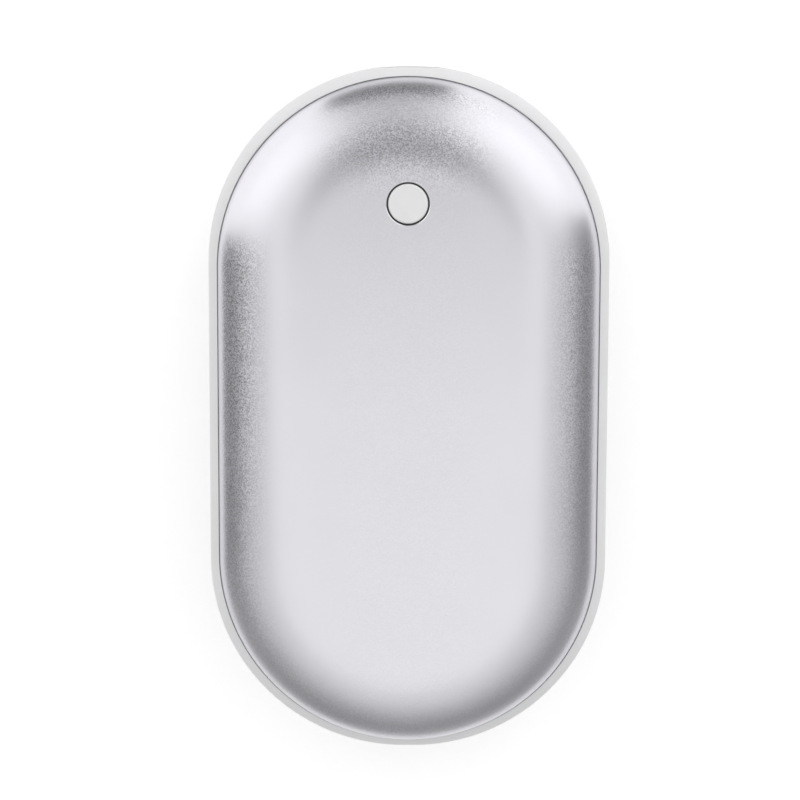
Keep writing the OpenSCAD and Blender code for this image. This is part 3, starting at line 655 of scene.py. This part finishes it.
def rounding_arcs():
    """Centre and radius of the crown arc and of the edge arc, as (radius in plan, height)."""
    crown_centre = Vector((FLAT_RADIUS, FACE_Z - CROWN_RADIUS))
    outwards = Vector((math.sin(CROWN_ANGLE), math.cos(CROWN_ANGLE)))
    crown_end = crown_centre + CROWN_RADIUS * outwards
    to_seam = Vector((SHELL_RADIUS, SEAM_Z)) - crown_end
    edge_radius = -to_seam.length_squared / (2 * to_seam.dot(outwards))
    return crown_centre, crown_end - edge_radius * outwards, edge_radius


def flat_drop(radius):
    """How far the section lies below its arcs, so that the flat runs into the crown with no line to see."""
    start, end = FLAT_RADIUS - FLAT_BLEND, FLAT_RADIUS + FLAT_BLEND
    if radius > end:
        full = FLAT_BLEND ** 2 / (6 * CROWN_RADIUS)
        return full * max(0, SHELL_RADIUS - radius) / (SHELL_RADIUS - end)
    soft = max(0, radius - start) ** 3 / (12 * CROWN_RADIUS * FLAT_BLEND)
    return soft - max(0, radius - FLAT_RADIUS) ** 2 / (2 * CROWN_RADIUS)


def section(inset, crown_steps, edge_steps):
    """The shell's section from the flat to the rim, at that inset from its outer face."""
    crown_centre, edge_centre, edge_radius = rounding_arcs()
    last = math.acos((RIM_Z - edge_centre.y) / (edge_radius - inset))
    points = [Vector((FLAT_RADIUS - FLAT_BLEND * share, FACE_Z - inset)) for share in (1, 0.75, 0.5, 0.25)]
    for step in range(crown_steps):
        angle = CROWN_ANGLE * step / crown_steps
        points.append(crown_centre + (CROWN_RADIUS - inset) * Vector((math.sin(angle), math.cos(angle))))
    for step in range(edge_steps + 1):
        angle = CROWN_ANGLE + (last - CROWN_ANGLE) * step / edge_steps
        points.append(edge_centre + (edge_radius - inset) * Vector((math.sin(angle), math.cos(angle))))
    return [point - Vector((0, flat_drop(point.x))) for point in points]


def rim_points(outer, inner):
    """A small rounding where the outer face meets the rim, then the rim's flat."""
    points = []
    for step in range(1, 4):
        angle = math.radians(30 * step)
        points.append(Vector((
            outer.x - RIM_ROUND * (1 - math.cos(angle)),
            outer.y + RIM_ROUND * (1 - math.sin(angle)),
        )))
    return points + [inner]


def plan_spots(arc_steps, straight_steps):
    """Places round the plan: an angle from the button end, clockwise, and the centre that it turns about."""
    spots = []
    for end in (1, -1):
        start = -90 if end > 0 else 90
        for step in range(arc_steps + 1):
            spots.append((math.radians(start + 180 * step / arc_steps), end * END_CENTRE))
        for step in range(1, straight_steps):
            spots.append((math.radians(start + 180), end * END_CENTRE * (1 - 2 * step / straight_steps)))
    return spots


def ring_at(mesh, spots, radius, height):
    """A ring of vertices round the plan, that far from the centre of each spot."""
    return [
        mesh.verts.new((radius * math.sin(angle), centre + radius * math.cos(angle), height))
        for angle, centre in spots
    ]


def join_rings(mesh, first, second, material=0):
    count = len(first)
    for here in range(count):
        following = (here + 1) % count
        face = mesh.faces.new((first[here], first[following], second[following], second[here]))
        face.material_index = material


def circle_at(mesh, radius, height, count=96):
    """A circle of vertices about the hole's axis."""
    angles = [2 * math.pi * step / count for step in range(count)]
    return [
        mesh.verts.new((radius * math.cos(angle), HOLE_Y + radius * math.sin(angle), height))
        for angle in angles
    ]


def fill_between(mesh, rings, material=0):
    """A flat face inside the first ring, round the others where there are any."""
    if len(rings) == 1:
        mesh.faces.new(rings[0]).material_index = material
        return
    edges = []
    for ring in rings:
        for here, vert in enumerate(ring):
            pair = (vert, ring[(here + 1) % len(ring)])
            edges.append(mesh.edges.get(pair) or mesh.edges.new(pair))
    made = bmesh.ops.triangle_fill(mesh, use_beauty=True, use_dissolve=False, edges=edges)
    for part in made["geom"]:
        if isinstance(part, bmesh.types.BMFace):
            part.material_index = material


def build_shell(name, has_hole, materials):
    """A domed shell with its rolled edge, its rim and its inside, and the button's hole if it has one.
    The materials are those of its outer face, of the hole's chamfer and of its inside."""
    chamfer, inside = 1, 2
    mesh = bmesh.new()
    spots = plan_spots(arc_steps=72, straight_steps=10)
    outer_section = section(0, crown_steps=16, edge_steps=26)
    inner_section = section(SHELL_WALL, crown_steps=6, edge_steps=12)
    outer_edge = outer_section[-1]
    outer_section[-1] = outer_edge + Vector((0, RIM_ROUND))
    rim = rim_points(outer_edge, inner_section[-1])
    outer_rings = [ring_at(mesh, spots, *point) for point in outer_section + rim]
    inner_rings = [ring_at(mesh, spots, *point) for point in reversed(inner_section[:-1])]
    for first, second in zip(outer_rings, outer_rings[1:]):
        join_rings(mesh, first, second)
    for first, second in zip([outer_rings[-1]] + inner_rings, inner_rings):
        join_rings(mesh, first, second, inside)
    if has_hole:
        flat_circle = circle_at(mesh, HOLE_RADIUS + HOLE_CHAMFER + FLAT_MARGIN, FACE_Z)
        mouth = circle_at(mesh, HOLE_RADIUS + HOLE_CHAMFER, FACE_Z)
        throat = circle_at(mesh, HOLE_RADIUS, FACE_Z - CHAMFER_DEPTH)
        back = circle_at(mesh, HOLE_RADIUS, FACE_Z - SHELL_WALL)
        join_rings(mesh, flat_circle, mouth)
        join_rings(mesh, mouth, throat, chamfer)
        join_rings(mesh, throat, back, inside)
        fill_between(mesh, [outer_rings[0], flat_circle])
        fill_between(mesh, [inner_rings[-1], back], inside)
    else:
        fill_between(mesh, [outer_rings[0]])
        fill_between(mesh, [inner_rings[-1]], inside)
        bmesh.ops.scale(mesh, vec=(1, 1, -1), verts=mesh.verts)
        bmesh.ops.translate(mesh, vec=(0, 0, 2 * MIDDLE_Z), verts=mesh.verts)
    return finish_piece(mesh, name, materials, "housing")


def finish_piece(mesh, name, materials, body):
    """Turns the bmesh into an object with smooth faces and sharp corners, on that body."""
    bmesh.ops.recalc_face_normals(mesh, faces=mesh.faces)
    data = bpy.data.meshes.new(name)
    mesh.to_mesh(data)
    mesh.free()
    for material in materials:
        data.materials.append(material)
    data.shade_smooth()
    data.set_sharp_from_angle(angle=SHARP_ANGLE)
    piece = bpy.data.objects.new(name, data)
    bpy.context.scene.collection.objects.link(piece)
    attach(piece, body)
    return piece


def build_shells(blasted):
    materials = [blasted, cut_aluminium(), painted_shade_aluminium()]
    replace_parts(build_shell("front_shell_skin", True, materials), "front_shell")
    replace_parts(build_shell("back_shell_skin", False, materials), "back_shell")


def build_button(plastic):
    """The power button: its stem, the flange that keeps it in, and the cap with a rounded edge."""
    mesh = bmesh.new()
    rings = [
        circle_at(mesh, STEM_RADIUS, STEM_Z),
        circle_at(mesh, STEM_RADIUS, FLANGE_Z[0]),
        circle_at(mesh, FLANGE_RADIUS, FLANGE_Z[0]),
        circle_at(mesh, FLANGE_RADIUS, FLANGE_Z[1]),
        circle_at(mesh, CAP_RADIUS, FLANGE_Z[1]),
    ]
    steps = 10
    for step in range(steps + 1):
        angle = math.pi / 2 * step / steps
        radius = CAP_RADIUS - CAP_ROUND * (1 - math.cos(angle))
        rings.append(circle_at(mesh, radius, CAP_TOP - CAP_ROUND * (1 - math.sin(angle))))
    rings.append(circle_at(mesh, CAP_RADIUS - CAP_ROUND - FLAT_MARGIN, CAP_TOP))
    for first, second in zip(rings, rings[1:]):
        join_rings(mesh, first, second)
    fill_between(mesh, [rings[0]])
    fill_between(mesh, [rings[-1]])
    button = finish_piece(mesh, "power_button_moulding", [plastic], "power_button")
    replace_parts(button, "power_button")


def build_dome(steel):
    """The switch's snap dome: a thin cap of a sphere."""
    mesh = bmesh.new()
    ball = (DOME_RADIUS ** 2 + DOME_HEIGHT ** 2) / (2 * DOME_HEIGHT)
    centre = DOME_Z + DOME_HEIGHT - ball
    inside = ball - DOME_SHEET
    inside_rim = math.sqrt(inside ** 2 - (ball - DOME_HEIGHT) ** 2)
    steps = 8
    outwards = [step / steps for step in range(1, steps + 1)]
    inwards = outwards[::-1]
    rings = []
    for radius, rim, shares in ((ball, DOME_RADIUS, outwards), (inside, inside_rim, inwards)):
        for share in shares:
            rings.append(circle_at(mesh, rim * share, centre + math.sqrt(radius ** 2 - (rim * share) ** 2)))
    for first, second in zip(rings, rings[1:]):
        join_rings(mesh, first, second)
    fill_between(mesh, [rings[0]])
    fill_between(mesh, [rings[-1]])
    dome = finish_piece(mesh, "switch_dome_leaf", [steel], "housing")
    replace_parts(dome, "switch_dome")
    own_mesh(dome)


# The studio


def stadium_point(radius, turn):
    """The point of the shells' plan at that radius. A turn is in degrees from the button end, clockwise,
    and turns of exactly 90 and 270 belong to the lower end."""
    rounding_error = 1e-9
    sideways = math.sin(math.radians(turn))
    upwards = math.cos(math.radians(turn))
    end = 1 if upwards > rounding_error else -1
    return radius * sideways, end * END_CENTRE + radius * upwards


def sheet_of(name, rows, material, paleness=None):
    """A sheet through rows of points, for the studio only. Paleness is each point's share of white."""
    wide = len(rows[0])
    faces = [
        (corner, corner + 1, corner + wide + 1, corner + wide)
        for row in range(len(rows) - 1)
        for corner in range(row * wide, row * wide + wide - 1)
    ]
    mesh = bpy.data.meshes.new(name)
    mesh.from_pydata([point for row in rows for point in row], [], faces)
    mesh.materials.append(material)
    if paleness:
        values = [pale for row in paleness for pale in row]
        mesh.attributes.new("paleness", "FLOAT", "POINT").data.foreach_set("value", values)
    sheet = bpy.data.objects.new(name, mesh)
    bpy.context.scene.collection.objects.link(sheet)
    return sheet


def card_of(name, rows, paleness):
    """A matt studio card that shapes reflections and stays out of the picture and off the floor."""
    paint = Paint(name, (0.5, 0.5, 0.5), 1.0, Specular_IOR_Level=0.0)
    value = paint.node("ShaderNodeAttribute", attribute_name="paleness").outputs["Fac"]
    paint.tint(value, (0, 0, 0), (1, 1, 1), 0, 1)
    card = sheet_of(name, rows, paint.material, paleness)
    card.visible_camera = False
    card.visible_diffuse = False
    card.visible_transmission = False
    card.visible_shadow = False


def ring_card(name, turns, steps):
    """A card round the shells. A step is (offset from the shells in millimetres, elevation in degrees seen
    from their edge) at the sides, the same at the lower end, and the card's paleness at the sides, at the
    lower corners and at that end."""
    rows = []
    paleness = []
    for at_side, at_end, (side_pale, corner_pale, end_pale) in steps:
        row = []
        row_paleness = []
        for turn in turns:
            share = max(0, -math.cos(math.radians(turn)))
            offset, elevation = (side + share * (end - side) for side, end in zip(at_side, at_end))
            x, y = stadium_point(SHELL_RADIUS + offset * MM, turn)
            row.append((x, y, CARD_START_Z + offset * MM * math.tan(math.radians(elevation))))
            past_side = max(0, 90 - abs(180 - turn))
            to_corner = min(1, past_side / CORNER_TURN)
            to_end = min(1, max(0, past_side - CORNER_TURN) / CORNER_FADE)
            at_corner = side_pale + to_corner * (corner_pale - side_pale)
            row_paleness.append(at_corner + to_end * (end_pale - at_corner))
        rows.append(row)
        paleness.append(row_paleness)
    card_of(name, rows, paleness)


def low_card():
    """A card that stands round the sides and the lower end, dark at its foot, and darkens the flanks."""
    turns = [75, 82, 89.9] + list(range(90, 271, 5)) + [270.1, 274, 278]
    ring_card("low_card", turns, [
        ((20, -38), (24, -38), (0.5, 0.62, 0.68)),
        ((22, -34), (36, -16), (0.33, 0.48, 0.36)),
        ((30, 4), (56, 8), (0.33, 0.39, 0.3)),
        ((34, 15), (60, 20), (0.42, 0.42, 0.38)),
        ((39, 25), (64, 30), (0.58, 0.56, 0.55)),
        ((45, 35), (68, 40), (0.72, 0.72, 0.72)),
        ((53, 45), (74, 50), (0.8, 0.8, 0.82)),
        ((66, 60), (84, 62), (0.89, 0.89, 0.92)),
    ])


def end_card():
    """A low dark card behind the button end."""
    turns = list(range(-28, 15, 3))
    grey = (0.28, 0.28, 0.28)
    ring_card("end_card", turns, [((17, -43), (17, -43), grey), ((36, -1), (36, -1), grey)])


def upper_card():
    """A grey card above the button end, which hangs down behind it between the two lamps. A step is its
    y, its height, its left and right edges, all in millimetres, and its paleness."""
    steps = [
        (20, 276, -80, 80, 0.72),
        (60, 276, -95, 90, 0.36),
        (104, 276, -110, 90, 0.26),
        (150, 274, -125, 85, 0.31),
        (200, 262, -125, 70, 0.45),
        (235, 220, -115, 58, 0.63),
        (245, 150, -108, 54, 0.76),
        (245, 60, -108, 54, 0.76),
        (245, 1, -108, 54, 0.56),
    ]
    rows = [[(x * MM, y * MM, z * MM) for x in (left, right)] for y, z, left, right, _ in steps]
    card_of("upper_card", rows, [(pale, pale) for *_, pale in steps])


def lamp(name, turn, elevation, distance, width, height, radiance):
    """A soft lamp that faces the warmer's button end, with a black back that hides the white room behind it
    from reflections. The turn, clockwise from the button end, and the elevation are in degrees."""
    data = bpy.data.lights.new(name, "AREA")
    data.shape = "RECTANGLE"
    data.size = width
    data.size_y = height
    data.energy = radiance * math.pi * width * height
    lamp_object = bpy.data.objects.new(name, data)
    across, up = math.radians(turn), math.radians(elevation)
    out = Vector((math.sin(across) * math.cos(up), math.cos(across) * math.cos(up), math.sin(up)))
    lamp_object.location = out * distance + Vector((0, END_CENTRE, MIDDLE_Z))
    lamp_object.rotation_mode = "QUATERNION"
    lamp_object.rotation_quaternion = out.to_track_quat("Z", "Y")
    lamp_object.visible_camera = False
    bpy.context.scene.collection.objects.link(lamp_object)
    behind = 1 * MM
    rows = [
        [
            lamp_object.location + lamp_object.rotation_quaternion @ Vector((x * width, y * height, behind))
            for x in (-0.5, 0.5)
        ]
        for y in (-0.5, 0.5)
    ]
    card_of(name + "_back", rows, [(0, 0), (0, 0)])


def background_rays(tree):
    """1 for camera, glossy and transmission rays, and 0 for the rest."""
    path = tree.nodes.new("ShaderNodeLightPath")
    total = path.outputs["Is Camera Ray"]
    for name in ("Is Glossy Ray", "Is Transmission Ray"):
        add = tree.nodes.new("ShaderNodeMath")
        add.operation = "MAXIMUM"
        tree.links.new(total, add.inputs[0])
        tree.links.new(path.outputs[name], add.inputs[1])
        total = add.outputs[0]
    return total


def times_and_plus(tree, value, factor, plus):
    made = tree.nodes.new("ShaderNodeMath")
    made.operation = "MULTIPLY_ADD"
    tree.links.new(value, made.inputs[0])
    made.inputs[1].default_value = factor
    made.inputs[2].default_value = plus
    return made.outputs[0]


def build_world():
    """A white room, dimmer for the light that it gives to matt surfaces."""
    world = bpy.data.worlds.new("studio")
    world.use_nodes = True
    tree = world.node_tree
    background = tree.nodes["Background"]
    background.inputs["Color"].default_value = (1, 1, 1, 1)
    strength = times_and_plus(tree, background_rays(tree), 1 - ROOM_LIGHT, ROOM_LIGHT)
    tree.links.new(strength, background.inputs["Strength"])
    bpy.context.scene.world = world


def build_floor():
    """A plain white floor, which keeps the warmer's shadow."""
    paint = Paint("floor", (0.88, 0.88, 0.88), 1.0, Specular_IOR_Level=0.0)
    paint.tint(paint.noise(3, 2), (0.86, 0.86, 0.86), (0.88, 0.88, 0.88))
    paint.put("Emission Color", (1, 1, 1, 1))
    lift = times_and_plus(paint.tree, background_rays(paint.tree), FLOOR_LIFT, 0)
    paint.link(lift, paint.shader.inputs["Emission Strength"])
    half_width = 4.0
    floor_rows = [[(-half_width, y, 0), (half_width, y, 0)] for y in (-half_width, half_width)]
    sheet_of("floor", floor_rows, paint.material)


def build_studio():
    build_world()
    build_floor()
    low_card()
    end_card()
    upper_card()
    lamp("left_lamp", turn=-56, elevation=19, distance=0.5, width=0.37, height=0.34, radiance=1.27)
    lamp("right_lamp", turn=46, elevation=20, distance=0.5, width=0.47, height=0.37, radiance=1.3)


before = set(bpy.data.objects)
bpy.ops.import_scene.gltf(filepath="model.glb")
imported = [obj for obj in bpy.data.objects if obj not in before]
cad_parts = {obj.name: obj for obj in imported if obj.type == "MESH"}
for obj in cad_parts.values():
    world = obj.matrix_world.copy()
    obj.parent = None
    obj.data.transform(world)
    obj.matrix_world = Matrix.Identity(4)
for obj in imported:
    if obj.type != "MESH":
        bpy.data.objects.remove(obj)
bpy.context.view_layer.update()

build_camera()
finishes = dress_nodes(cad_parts)
build_shells(finishes["shell_aluminium"])
build_button(finishes["button_plastic"])
build_dome(finishes["dome_steel"])
build_studio()

bpy.context.scene.view_settings.view_transform = "Standard"
